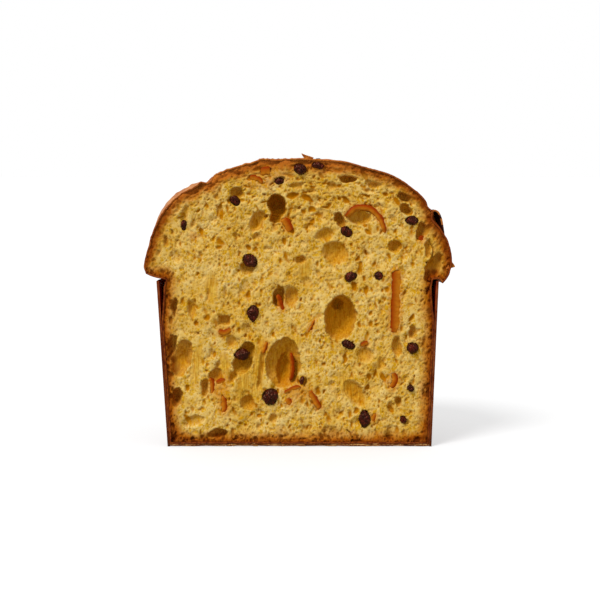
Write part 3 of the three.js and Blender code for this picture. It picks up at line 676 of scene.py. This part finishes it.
def make_paper_wall(materials):
    """The corrugated wall: a ribbed outer liner, the fluting and a smooth inner liner."""
    bm = bmesh.new()
    waves = 2 * WALL_RIBS

    def rim_wear(turn, height, v, depth, size, seed):
        return depth * (v > 0.999) * (1 + cloud(turn * 60, height, size, seed))

    def outer(u, v):
        turn, height = math.pi * u, MOULD_HEIGHT * v
        radius = paper_radius(height) - 0.15 * (1 - np.cos(waves * turn))
        return radius, turn, height - rim_wear(turn, height, v, 0.2, 4, 51)

    def fluting(u, v):
        turn, height = math.pi * u, (MOULD_HEIGHT - 0.4) * v
        wave = (PAPER / 2 - LINER - 0.1) * np.cos(waves * turn)
        return paper_radius(height) - PAPER / 2 - 0.08 + wave, turn, height

    def inner(u, v):
        turn, height = math.pi * u, MOULD_HEIGHT * v
        return paper_radius(height) - PAPER + LINER, turn, height - rim_wear(turn, height, v, 0.3, 3, 52)

    paper_sheet(bm, waves * 4, 12, outer, -LINER)
    middle = paper_sheet(bm, waves * 4, 3, fluting, -0.16)
    for face in [*middle, *paper_sheet(bm, 180, 12, inner, -LINER)]:
        face.material_index = 1
    bmesh.ops.recalc_face_normals(bm, faces=bm.faces)
    return new_piece("paper_mould_wall", bm, materials, ["paper_wall"])


def make_paper_base(materials):
    """The corrugated bottom: an underside of baking paper, the fluting and a raw upper side."""
    bm = bmesh.new()
    radius = paper_radius(0) - PAPER - FIT
    for low_z, high_z, waves in ((0.0, 0.34, False), (PAPER - 0.34, PAPER, False), (0.58, 0.8, True)):
        columns = 560 if waves else 120
        points = bmesh.ops.create_grid(bm, x_segments=columns, y_segments=14, size=1)["verts"]
        for v in points:
            y = (v.co.y + 1) / 2 * radius * 0.9999
            half = math.sqrt(max(radius**2 - y * y, 0.01))
            lift = 0.36 * math.cos(2 * math.pi * v.co.x * half / FLUTE_PITCH) if waves else 0.0
            lift += 0.3 * (1 + cloud(v.co.x * half, y, 8, 53)) * math.exp(-y / 3)
            v.co = (v.co.x * half, y, high_z + lift)
        faces = list({face for v in points for face in v.link_faces})
        grown = bmesh.ops.extrude_face_region(bm, geom=faces)["geom"]
        for vertex in [g for g in grown if isinstance(g, bmesh.types.BMVert)]:
            vertex.co.z -= high_z - low_z
    bmesh.ops.recalc_face_normals(bm, faces=bm.faces)
    for face in bm.faces:
        face.material_index = int(face.normal.z < -0.5 and face.calc_center_median().z < 0.5)
    return new_piece("paper_mould_base", bm, materials, ["paper_base"])


# Fruit
def smoothed(mesh, levels):
    """The mesh after subdivision, as a new mesh."""
    carrier = bpy.data.objects.new("carrier", mesh)
    bpy.context.scene.collection.objects.link(carrier)
    change = carrier.modifiers.new("round", "SUBSURF")
    change.levels = change.render_levels = levels
    graph = bpy.context.evaluated_depsgraph_get()
    rounded = bpy.data.meshes.new_from_object(carrier.evaluated_get(graph))
    bpy.data.objects.remove(carrier)
    return rounded


def make_raisin(number, material):
    """A raisin rounded from its solid, then wrinkled by folds and creases."""
    node = f"raisin_{number:02d}"
    bm = bmesh.new()
    bm.from_mesh(frame["nodes"][node].data)
    bmesh.ops.remove_doubles(bm, verts=bm.verts, dist=1e-6)
    plain = bpy.data.meshes.new("raisin")
    bm.to_mesh(plain)
    bm.free()
    rounded = smoothed(plain, 3)
    bm = bmesh.new()
    bm.from_mesh(rounded)
    bm.transform(TO_FRAME.inverted())
    centre = Vector(points_of(bm).mean(0))
    offset = Vector((number * 7.3, number * 3.1, 0))
    bm.normal_update()
    moves = []
    for v in bm.verts:
        p = (v.co - centre) + offset
        lump = noise.noise(p * 0.28) * 1.1
        fold = 1 - abs(noise.noise(Vector((p.x * 0.5, p.y * 0.42, p.z * 0.36)) + Vector((3, 1, 7)))) * 3.4
        crease = 1 - abs(noise.noise(p * 0.95 + Vector((9, 2, 5)))) * 3
        moves.append(v.normal * (0.45 + lump - 0.75 * max(fold, 0) ** 2 - 0.3 * max(crease, 0) ** 2))
    shrink = 0.82 if number > len(RAISINS) else 1
    for v, move in zip(bm.verts, moves):
        v.co = centre + (v.co + move - centre) * shrink
    return new_piece(f"raisin_skin_{number:02d}", bm, material, [node])


def squared(value):
    """Flattens the sides of a round section."""
    return math.copysign(abs(value) ** 0.42, value)


def make_peel(number, material):
    """A strip of peel with a flat, blunt-ended section, bent along its path in the crumb."""
    line, wide, deep, back = PEELS[number - 1]
    path = spline(line, LINE_POINTS)
    shares = np.linspace(0, 1, LINE_POINTS)
    length = np.hypot(*np.diff(path, axis=0).T).sum()
    rings = max(8, int(length / 0.55))
    bm = bmesh.new()
    bmesh.ops.create_cone(bm, cap_ends=True, segments=20, radius1=1, radius2=1, depth=1)
    uprights = [e for e in bm.edges if abs(e.verts[0].co.z - e.verts[1].co.z) > 0.5]
    bmesh.ops.subdivide_edges(bm, edges=uprights, cuts=rings)
    for _ in range(3):
        caps = [face for face in bm.faces if len(face.verts) > 4]
        bmesh.ops.inset_region(bm, faces=caps, thickness=0.22)
    bmesh.ops.poke(bm, faces=[face for face in bm.faces if len(face.verts) > 4])
    blunt = 0.45 if length < 14 and wide < 4.5 else 0.78
    rind_and_shade = []
    points = []
    for v in bm.verts:
        at = v.co.z + 0.5
        reach = math.hypot(v.co.x, v.co.y)
        angle = math.atan2(v.co.y, v.co.x)
        behind, here, ahead = (
            np.array([np.interp(place, shares, path[:, k]) for k in (0, 1)])
            for place in (max(at - 0.02, 0), at, min(at + 0.02, 1))
        )
        tangent = (ahead - behind) / (np.linalg.norm(ahead - behind) + 1e-9)
        side = np.array((-tangent[1], tangent[0]))
        cap = 1 - 0.35 * max(0, abs(at - 0.5) * 2 - 0.86) / 0.14
        wander = Vector((at * length / 3, number * 3.3, 0.4 * math.copysign(1, v.co.x)))
        uneven = 1 + 0.45 * noise.noise(wander)
        taper = (blunt + (1 - blunt) * math.sin(math.pi * at) ** 0.6) * cap * uneven
        a = squared(math.cos(angle)) * reach * (wide / 2 + 0.35) * taper
        b = squared(math.sin(angle)) * reach * deep / 2 * cap
        spot = Vector((here[0] + side[0] * a, back + deep / 2 + b, here[1] + side[1] * a))
        lump = noise.noise(spot * 0.45 + Vector((number * 5.0, 0, 0))) * 0.5
        lump += noise.noise(spot * 1.2) * 0.22
        spot.y += lump * 0.7 + 0.3 * (abs(a) / (wide / 2)) ** 2
        spot.x += side[0] * lump * 0.5
        spot.z += side[1] * lump * 0.5
        points.append(spot)
        # The rind value runs from rind to pith across the strip; its part for how far back a piece lies is
        # painted shade, darker for pieces set deep in their slots.
        rind_and_shade.append(0.5 + 0.5 * a / (wide / 2 + 1e-6) + 0.45 * max(back - 0.5, 0))
    move_points(bm, points)
    record(bm, "rind_and_shade", rind_and_shade)
    bmesh.ops.recalc_face_normals(bm, faces=bm.faces)
    if bm.calc_volume(signed=True) < 0:
        bmesh.ops.reverse_faces(bm, faces=bm.faces[:])
    return new_piece(f"peel_strip_{number:02d}", bm, material, [f"peel_{number:02d}"])


# Loose bits of the crust
def thicken(bm, thickness):
    """Gives an open sheet its thickness, towards the back of its faces."""
    bmesh.ops.recalc_face_normals(bm, faces=bm.faces)
    bmesh.ops.solidify(bm, geom=bm.faces[:], thickness=thickness)
    bmesh.ops.recalc_face_normals(bm, faces=bm.faces)


def make_lifted_scale(materials):
    """The scale of crust at the right that has torn along its front and stands away from the loaf."""
    bm, back, down = new_grid(26, 40)
    turn = np.radians(0.2 + 9 * back * (1 - (2 * down - 1) ** 4 * 0.5))
    rear_radius, rear_height, _ = crust_point(turn, 0.69 + 0.1 * (down - 0.5) * (1 - 0.8 * back**2))
    front = spline(SCALE_FRONT, 100)
    share = np.linspace(0, 1, 100)
    settle = smooth_step(back, 0.12, 1)
    radius = np.interp(down, share, front[:, 0]) * (1 - settle) + (rear_radius + 0.2) * settle
    height = np.interp(down, share, front[:, 1]) * (1 - settle) + rear_height * settle
    radius += 0.25 * cloud(back * 10, down * 16, 2.5, 61) * (1 - settle)
    points = np.c_[radius * np.cos(turn), radius * np.sin(turn), height]
    points[:, 1] = np.maximum(points[:, 1], 0.2 + 0.35 * cloud(down * 16, back, 2, 62))
    move_points(bm, points)
    record(bm, "flap", 0.25 + 0.7 * smooth_step(back, 0.04, 0.3))
    thicken(bm, 1.1)
    # Faces turned in towards the loaf take the second finish, which is painted shade for the gap behind
    # the scale.
    for face in bm.faces:
        face.material_index = int(face.normal.x < 0)
    return new_piece("lifted_scale", bm, materials, [])


def make_flake(name, tip, root, width, back, material):
    """A thin curled flake of crust that stands up from the cut edge."""
    bm, *_ = new_grid(6, 12)
    tip, root = Vector((tip[0], back, tip[1])), Vector((root[0], back, root[1]))
    out = tip - root
    side = Vector((-out.z, 0, out.x)).normalized()
    for v in bm.verts:
        across, up = v.co.x * 2, v.co.y + 0.5
        spread = width / 2 * (1 - up**1.6) + 0.15
        v.co = root + out * up + side * (across * spread + 0.5 * math.sin(2.6 * up))
        v.co.y += 0.9 * (1 - across**2) * (1 - up) + 0.5 * noise.noise(v.co * 0.6)
    record(bm, "flap", [0.0] * len(bm.verts))
    thicken(bm, 0.45)
    return new_piece(name, bm, material, [])




def make_torn_edge(material):
    """Torn fibres of the paper along the front edge of the mould's bottom."""
    rng = np.random.default_rng(5)
    bm = bmesh.new()
    spots = [(x, rng.uniform(1.5, 6), rng.uniform(0.4, 1.1)) for x in rng.uniform(-80, 80, 80)]
    spots += FRAYS
    for x, long, tall in spots:
        points = bmesh.ops.create_grid(bm, x_segments=10, y_segments=3, size=0.5)["verts"]
        z, slope = rng.uniform(0.3, 1.5), rng.uniform(-0.12, 0.12)
        for v in points:
            u, w = v.co.x * long, v.co.y + 0.5
            fade = max(0.0, 1 - (2 * v.co.x) ** 2) ** 0.5
            curl = 0.1 * noise.noise(Vector((x + u, w * 2, 3)))
            droop = 0.25 * noise.noise(Vector((x + u, 9, w)))
            height = z + slope * u + (w - 0.4) * tall * fade + droop
            v.co = (x + u, 0.55 - 0.5 * w * fade - curl, max(0.05, height))
    thicken(bm, 0.12)
    for v in bm.verts:
        v.co.z = max(v.co.z, 0.02)
    return new_piece("torn_paper_edge", bm, material, [])


# Finishes
def paint(code):
    """A colour written as on a paint card, as the renderer counts it."""
    parts = [int(code[i : i + 2], 16) / 255 for i in (1, 3, 5)]
    return (*[c / 12.92 if c <= 0.04045 else ((c + 0.055) / 1.055) ** 2.4 for c in parts], 1)


class Finish:
    """A material with short ways to add and join its nodes."""

    def __init__(self, name):
        self.material = bpy.data.materials.new(name)
        self.material.use_nodes = True
        self.tree = self.material.node_tree
        self.shader = next(n for n in self.tree.nodes if n.type == "BSDF_PRINCIPLED")

    def node(self, kind, settings=None, **sockets):
        made = self.tree.nodes.new(kind)
        for key, value in (settings or {}).items():
            setattr(made, key, value)
        for key, value in sockets.items():
            self.put(value, made.inputs[key.replace("_", " ")])
        return made

    def put(self, value, socket):
        if isinstance(value, bpy.types.NodeSocket):
            self.tree.links.new(value, socket)
        else:
            socket.default_value = value

    def place(self):
        return self.node("ShaderNodeTexCoord").outputs["Object"]

    def stretched(self, scale):
        return self.node("ShaderNodeMapping", Vector=self.place(), Scale=scale).outputs["Vector"]

    def kept(self, name):
        return self.node("ShaderNodeAttribute", {"attribute_name": name}).outputs["Fac"]

    def speckle(self, size, detail=3.0, rough=0.6, place=None):
        """Cloudy noise in lumps of that many millimetres."""
        noise_node = self.node("ShaderNodeTexNoise", Vector=place or self.place(), Scale=1000 / size)
        self.put(detail, noise_node.inputs["Detail"])
        self.put(rough, noise_node.inputs["Roughness"])
        return noise_node.outputs["Fac"]

    def math(self, operation, a, b=0.5):
        made = self.node("ShaderNodeMath", {"operation": operation})
        self.put(a, made.inputs[0])
        self.put(b, made.inputs[1])
        return made.outputs[0]

    def ramp(self, value, *stops):
        made = self.node("ShaderNodeValToRGB", Fac=value)
        elements = made.color_ramp.elements
        while len(elements) < len(stops):
            elements.new(0.5)
        for element, (at, colour) in zip(elements, stops):
            element.position = at
            element.color = paint(colour) if isinstance(colour, str) else (colour,) * 3 + (1,)
        return made.outputs["Color"]

    def rise(self, value, start, end, top=1.0):
        """From 0 where the value is at the start, up to top at the end."""
        return self.ramp(value, (start, 0.0), (end, top))

    def times(self, a, b):
        return self.math("MULTIPLY", a, b)

    def mix(self, share, a, b, blend="MIX"):
        made = self.node("ShaderNodeMix", {"data_type": "RGBA", "blend_type": blend})
        for value, number in ((share, 0), (a, 6), (b, 7)):
            self.put(paint(value) if isinstance(value, str) else value, made.inputs[number])
        return made.outputs[2]

    def bump(self, height, depth, strength=1.0, under=None):
        made = self.node("ShaderNodeBump", Height=height, Strength=strength, Distance=depth * 0.001)
        if under:
            self.put(under, made.inputs["Normal"])
        return made.outputs["Normal"]

    def set(self, **sockets):
        for key, value in sockets.items():
            self.put(value, self.shader.inputs[key.replace("_", " ")])
        return self.material


def crumb_finish():
    f = Finish("crumb")
    pore, hollow, drawn = f.kept("pore"), f.kept("hollow"), f.kept("drawn")
    patches = f.rise(f.speckle(24, 3, 0.6), 0.38, 0.62)
    spots = f.rise(f.speckle(5, 3, 0.6), 0.4, 0.62)
    # Painted shade of the fine pores: small dark eyes at the cell centres, too small for the sheet's
    # points, join the pore depth in the pits mask.
    cells = f.node("ShaderNodeTexVoronoi", Vector=f.stretched((1, 1, 0.72)), Scale=1000 / 1.1)
    eyes = f.ramp(cells.outputs["Distance"], (0.1, 1.0), (0.45, 0.0))
    some = f.rise(f.speckle(1.9, 2, 0.5), 0.42, 0.56)
    eyes = f.times(eyes, some)
    pits = f.math("MAXIMUM", f.rise(pore, 0.2, 0.85), f.times(eyes, 0.9))
    pits = f.times(pits, f.math("SUBTRACT", 1.0, f.times(drawn, 0.7)))
    streaks = f.rise(f.speckle(0.9, 3, 0.6, f.stretched((1, 1, 0.12))), 0.4, 0.62)
    lines = f.speckle(1.7, 2, 0.5, f.stretched((1, 1, 0.6)))
    fine_line = f.math("ABSOLUTE", f.math("SUBTRACT", lines, 0.5))
    fine_thread = f.ramp(fine_line, (0.01, 0.9), (0.045, 0.0))
    web_share = f.math("MAXIMUM", f.rise(f.kept("thread"), 0.15, 0.9), fine_thread)
    web_share = f.times(web_share, f.ramp(spots, (0.0, 1.0), (1.0, 0.55)))
    flat = f.mix(patches, "#c8991f", "#bf8b10")
    ridge = f.mix(web_share, flat, f.mix(patches, "#dabc74", "#d2ac56"))
    # The pit colour is painted shade: pits and cells are coloured darker and more orange than the crumb
    # between them.
    pit_shade = f.mix(patches, "#b07206", "#a26203")
    base = f.mix(pits, ridge, pit_shade)
    strand = f.mix(streaks, "#b47804", "#d4a93e")
    base = f.mix(f.times(drawn, 0.95), base, strand)
    # Painted shade in the air holes: their walls are coloured darker and deeper orange, more so where they
    # are deep.
    base = f.mix(f.rise(hollow, 0.05, 0.3, 0.8), base, f.mix(streaks, "#ac6a01", "#ca9424"))
    base = f.mix(f.rise(hollow, 0.5, 1.0, 0.85), base, f.mix(streaks, "#b07002", "#c88e18"))
    base = f.mix(f.times(f.kept("syrup"), 0.42), base, "#b8640c")
    inward = f.kept("inward")
    wall_toast = f.ramp(
        inward, (0.0, "#6c2b02"), (0.1, "#8a4205"), (0.22, "#a15c0c"), (0.4, "#b07020"), (0.6, "#b98836")
    )
    dome_toast = f.ramp(
        inward, (0.0, "#6c2802"), (0.16, "#7e3604"), (0.28, "#9a560a"), (0.4, "#b27a20"), (0.55, "#bf9238")
    )
    bare_toast = f.ramp(
        inward, (0.0, "#b06022"), (0.12, "#b0601c"), (0.36, "#ad6212"), (0.5, "#b67e2a"), (0.7, "#c09440")
    )
    toast = f.mix(f.kept("dome"), wall_toast, f.mix(f.kept("bare"), dome_toast, bare_toast))
    share = f.ramp(inward, (0.15, 1.0), (0.42, 0.7), (0.8, 0.0))
    toast = f.mix(f.times(web_share, 0.25), toast, "#c67c2a")
    base = f.mix(share, base, toast)
    # Air holes near the crust are coloured a darker brown: toasting near the crust together with painted
    # shade in the holes.
    near_wall = f.ramp(inward, (0.0, 1.0), (0.6, 0.0))
    scorched_and_shaded = f.times(f.rise(hollow, 0.08, 0.45, 0.8), near_wall)
    base = f.mix(scorched_and_shaded, base, "#8c3c06")
    # Pits near the crust, less so on the dome, go dark brown: browning near the crust together with
    # painted shade in the pits.
    browned_and_shaded_pits = f.math("MAXIMUM", f.rise(pore, 0.12, 0.5), eyes)
    dark = f.times(browned_and_shaded_pits, f.ramp(inward, (0.0, 1.0), (0.25, 0.7), (0.65, 0.0)))
    dark = f.times(dark, f.ramp(f.kept("dome"), (0.0, 0.85), (1.0, 0.3)))
    base = f.mix(dark, base, "#4a1a04")
    relief = f.math("SUBTRACT", 1.0, eyes)
    fine = f.bump(f.speckle(0.6, 3, 0.7), 0.15, 0.5)
    f.set(Base_Color=base, Roughness=0.8, Normal=f.bump(relief, 0.3, 0.6, fine))
    return f.set(Specular_IOR_Level=0.0)


def crust_finish():
    f = Finish("crust")
    flap, wall = f.kept("flap"), f.kept("wall")
    mottle = f.speckle(8, 5, 0.65)
    fine = f.speckle(1.3, 4, 0.7)
    bare = f.mix(f.rise(mottle, 0.35, 0.65), "#7d3208", "#b56a20")
    skin = f.mix(f.rise(mottle, 0.35, 0.68), "#5a1f04", "#843c0e")
    # Painted light: the left flap's low flap value gives it this pale tan as a lit side, while the right
    # flap's dark skin stands for its shaded side; on the other flaps the tan is their edge colour.
    tan_and_lit_flap = f.mix(f.rise(mottle, 0.35, 0.68), "#965020", "#c98c54")
    edge = f.mix(f.rise(flap, 0.1, 0.45), bare, tan_and_lit_flap)
    base = f.mix(f.rise(flap, 0.5, 0.85), edge, skin)
    base = f.mix(f.rise(fine, 0.48, 0.75, 0.4), base, "#bb6c28")
    inner = f.mix(f.rise(mottle, 0.4, 0.62), "#6a2c08", "#a05c1c")
    base = f.mix(wall, base, inner)
    near = f.bump(fine, 0.3, 0.7)
    f.set(Base_Color=base, Normal=f.bump(f.speckle(3.2, 4, 0.6), 0.7, 0.7, near))
    f.set(Roughness=f.ramp(flap, (0.0, 0.6), (1.0, 0.42)))
    return f.set(Specular_IOR_Level=0.15, Specular_Tint=(1, 0.6, 0.3, 1))


def cut_crust_finish():
    f = Finish("cut_crust")
    flap = f.kept("flap")
    mottle = f.speckle(1.8, 4, 0.7, f.stretched((1, 1, 0.6)))
    scorched_and_shaded = f.ramp(mottle, (0.32, "#521e05"), (0.5, "#762f07"), (0.68, "#90460e"))
    golden = f.ramp(mottle, (0.32, "#8c4412"), (0.5, "#aa5e1c"), (0.68, "#be7a30"))
    brown = f.ramp(mottle, (0.32, "#471604"), (0.5, "#702e07"), (0.68, "#8f4a10"))
    # Painted light on the cut crust: through the flap value it stays golden under the paler, lit left flap
    # and goes to the scorched colour under the darker, shaded right flap; it also darkens further down the
    # dome.
    low = f.rise(f.kept("along"), 0.3, 0.8, 0.5)
    share = f.math("ADD", f.times(flap, 0.5), low)
    base = f.mix(f.kept("wall"), f.mix(share, golden, scorched_and_shaded), brown)
    f.set(Base_Color=base, Roughness=0.75, Normal=f.bump(f.speckle(0.9, 3, 0.7), 0.4, 0.8))
    return f.set(Specular_IOR_Level=0.08)


# Painted shade: a near-black crust colour for the inner faces of the lifted scale, standing for the shade
# in the gap behind it.
def gap_shade_finish():
    f = Finish("crust_gap_shade")
    base = f.ramp(f.speckle(2, 3, 0.6), (0.35, "#1c0802"), (0.65, "#43190a"))
    return f.set(Base_Color=base, Roughness=0.8, Specular_IOR_Level=0.05)


def raisin_finish():
    f = Finish("raisin")
    mottle = f.speckle(2.6, 4, 0.6)
    base = f.ramp(mottle, (0.3, "#160402"), (0.5, "#300a05"), (0.72, "#621a0c"))
    f.set(Base_Color=base, Roughness=0.3, Specular_IOR_Level=0.3, Specular_Tint=(1, 0.5, 0.3, 1))
    return f.set(Normal=f.bump(f.speckle(0.9, 3, 0.7), 0.15, 0.6))


def peel_finish():
    f = Finish("candied_peel")
    rind_and_shade, mottle = f.kept("rind_and_shade"), f.speckle(3, 4, 0.6)
    # Higher rind values go to the dark rind colour, which also carries the painted shade of pieces set
    # back in the crumb.
    base = f.mix(f.rise(rind_and_shade, 0.25, 0.85), "#b87014", "#882a00")
    base = f.mix(f.rise(mottle, 0.4, 0.7, 0.55), base, "#984002")
    f.set(Base_Color=base, Roughness=0.4, Specular_IOR_Level=0.08, Specular_Tint=(1, 0.7, 0.3, 1))
    return f.set(Normal=f.bump(f.speckle(0.8, 3, 0.7), 0.2, 0.5))


def paper_finish():
    f = Finish("baking_paper")
    fibre = f.speckle(0.8, 4, 0.7, f.stretched((1, 1, 0.25)))
    stain = f.speckle(18, 4, 0.6)
    base = f.mix(f.rise(stain, 0.4, 0.65), "#70300c", "#803f15")
    base = f.mix(f.rise(fibre, 0.45, 0.8, 0.3), base, "#8a4a25")
    f.set(Base_Color=base, Roughness=0.65, Normal=f.bump(fibre, 0.12, 0.6))
    return f.set(Specular_IOR_Level=0.15)


def raw_paper_finish():
    f = Finish("raw_edge_paper")
    stain = f.speckle(7, 5, 0.7, f.stretched((1, 1, 2)))
    base = f.ramp(stain, (0.36, "#52230c"), (0.5, "#7c431a"), (0.62, "#ab7a44"))
    return f.set(Base_Color=base, Roughness=0.8, Specular_IOR_Level=0.05)


def inner_paper_finish():
    f = Finish("greased_paper_gap_shade")
    # Painted shade colour: deeper behind the cut, in the gap between bread and paper, the paper turns a
    # strong dark red that stands for how it looks in shade.
    behind = f.node("ShaderNodeSeparateXYZ", Vector=f.place()).outputs["Y"]
    behind = f.times(f.math("SUBTRACT", behind, AXIS.y), 500.0)
    stain = f.rise(f.speckle(6, 4, 0.6), 0.35, 0.65)
    edge, deep = f.mix(stain, "#6e2c0c", "#a0582a"), f.mix(stain, "#8a1206", "#a62c0c")
    base = f.mix(f.rise(behind, 0.1, 0.6), edge, deep)
    return f.set(Base_Color=base, Roughness=0.6, Specular_IOR_Level=0.1)


def torn_paper_finish():
    f = Finish("torn_paper")
    fibre = f.speckle(1.2, 4, 0.7)
    base = f.ramp(fibre, (0.35, "#8a4c20"), (0.5, "#bd8a4a"), (0.66, "#dab983"))
    return f.set(Base_Color=base, Roughness=0.85, Specular_IOR_Level=0.1)


# Building the loaf
make_crumb(crumb_finish())
dome_crust, cut_crust = crust_finish(), cut_crust_finish()
make_crust(dome_crust, cut_crust)
make_lifted_scale([dome_crust, gap_shade_finish()])
make_flake("top_flake", (1.4, 184), (7.6, 179.8), 3.6, 1.2, cut_crust)
make_flake("side_flake", (97.1, 113.2), (92.4, 114.6), 5.4, 1.4, cut_crust)
paper = [paper_finish(), inner_paper_finish()]
make_paper_wall(paper)
make_paper_base([raw_paper_finish(), paper[0]])
make_torn_edge(torn_paper_finish())
raisin = raisin_finish()
for number in range(1, len(RAISINS) + HIDDEN_RAISINS + 1):
    make_raisin(number, raisin)
candied = peel_finish()
for number in range(1, len(PEELS) + 1):
    make_peel(number, candied)


# Floor, light and camera
def bright_to_camera(tree, plain, seen):
    """Joins two shaders so that the camera sees the second and everything else the first."""
    rays = tree.nodes.new("ShaderNodeLightPath")
    both = tree.nodes.new("ShaderNodeMixShader")
    tree.links.new(rays.outputs["Is Camera Ray"], both.inputs[0])
    tree.links.new(plain, both.inputs[1])
    tree.links.new(seen, both.inputs[2])
    end = next(n for n in tree.nodes if n.type in ("OUTPUT_MATERIAL", "OUTPUT_WORLD"))
    tree.links.new(both.outputs[0], end.inputs["Surface"])


def make_floor():
    bm = bmesh.new()
    bmesh.ops.create_grid(bm, x_segments=1, y_segments=1, size=60)
    mesh = bpy.data.meshes.new("floor")
    bm.to_mesh(mesh)
    bm.free()
    floor = bpy.data.objects.new("floor", mesh)
    bpy.context.scene.collection.objects.link(floor)
    white = Finish("white_floor")
    mesh.materials.append(white.material)
    white.set(Base_Color=(0.42, 0.42, 0.42, 1), Roughness=0.9, Specular_IOR_Level=0.0)
    white.set(Emission_Color=(1, 1, 1, 1), Emission_Strength=0.5)
    plain = white.node("ShaderNodeBsdfDiffuse", Color=(0.4, 0.4, 0.4, 1))
    bright_to_camera(white.tree, plain.outputs[0], white.shader.outputs[0])


def add_light(name, kind, energy, direction, **settings):
    light = bpy.data.lights.new(name, kind)
    light.energy = energy
    for key, value in settings.items():
        setattr(light, key, value)
    lamp = bpy.data.objects.new(name, light)
    lamp.rotation_mode = "QUATERNION"
    lamp.rotation_quaternion = Vector(direction).to_track_quat("-Z", "Y")
    bpy.context.scene.collection.objects.link(lamp)
    return lamp


make_floor()
add_light("window", "SUN", 2.35, (0.42, 0.55, -0.75), angle=math.radians(20))

world = bpy.data.worlds.new("studio")
world.use_nodes = True
sky = world.node_tree.nodes["Background"]
sky.inputs["Color"].default_value = (1, 1, 1, 1)
sky.inputs["Strength"].default_value = 0.8
backdrop = world.node_tree.nodes.new("ShaderNodeBackground")
backdrop.inputs["Color"].default_value = (1, 1, 1, 1)
bright_to_camera(world.node_tree, sky.outputs[0], backdrop.outputs[0])
bpy.context.scene.world = world
bpy.context.scene.view_settings.view_transform = "Standard"

TARGET = AXIS + Vector((0.0003, 0, 0.09274))
TILT, DISTANCE = math.radians(5), 0.9
camera = bpy.data.objects.new("camera", bpy.data.cameras.new("camera"))
camera.data.lens = 86.4
camera.data.sensor_width = 36
camera.location = TARGET + DISTANCE * Vector((0, -math.cos(TILT), math.sin(TILT)))
camera.rotation_mode = "QUATERNION"
camera.rotation_quaternion = (TARGET - camera.location).to_track_quat("-Z", "Y")
bpy.context.scene.collection.objects.link(camera)
bpy.context.scene.camera = camera
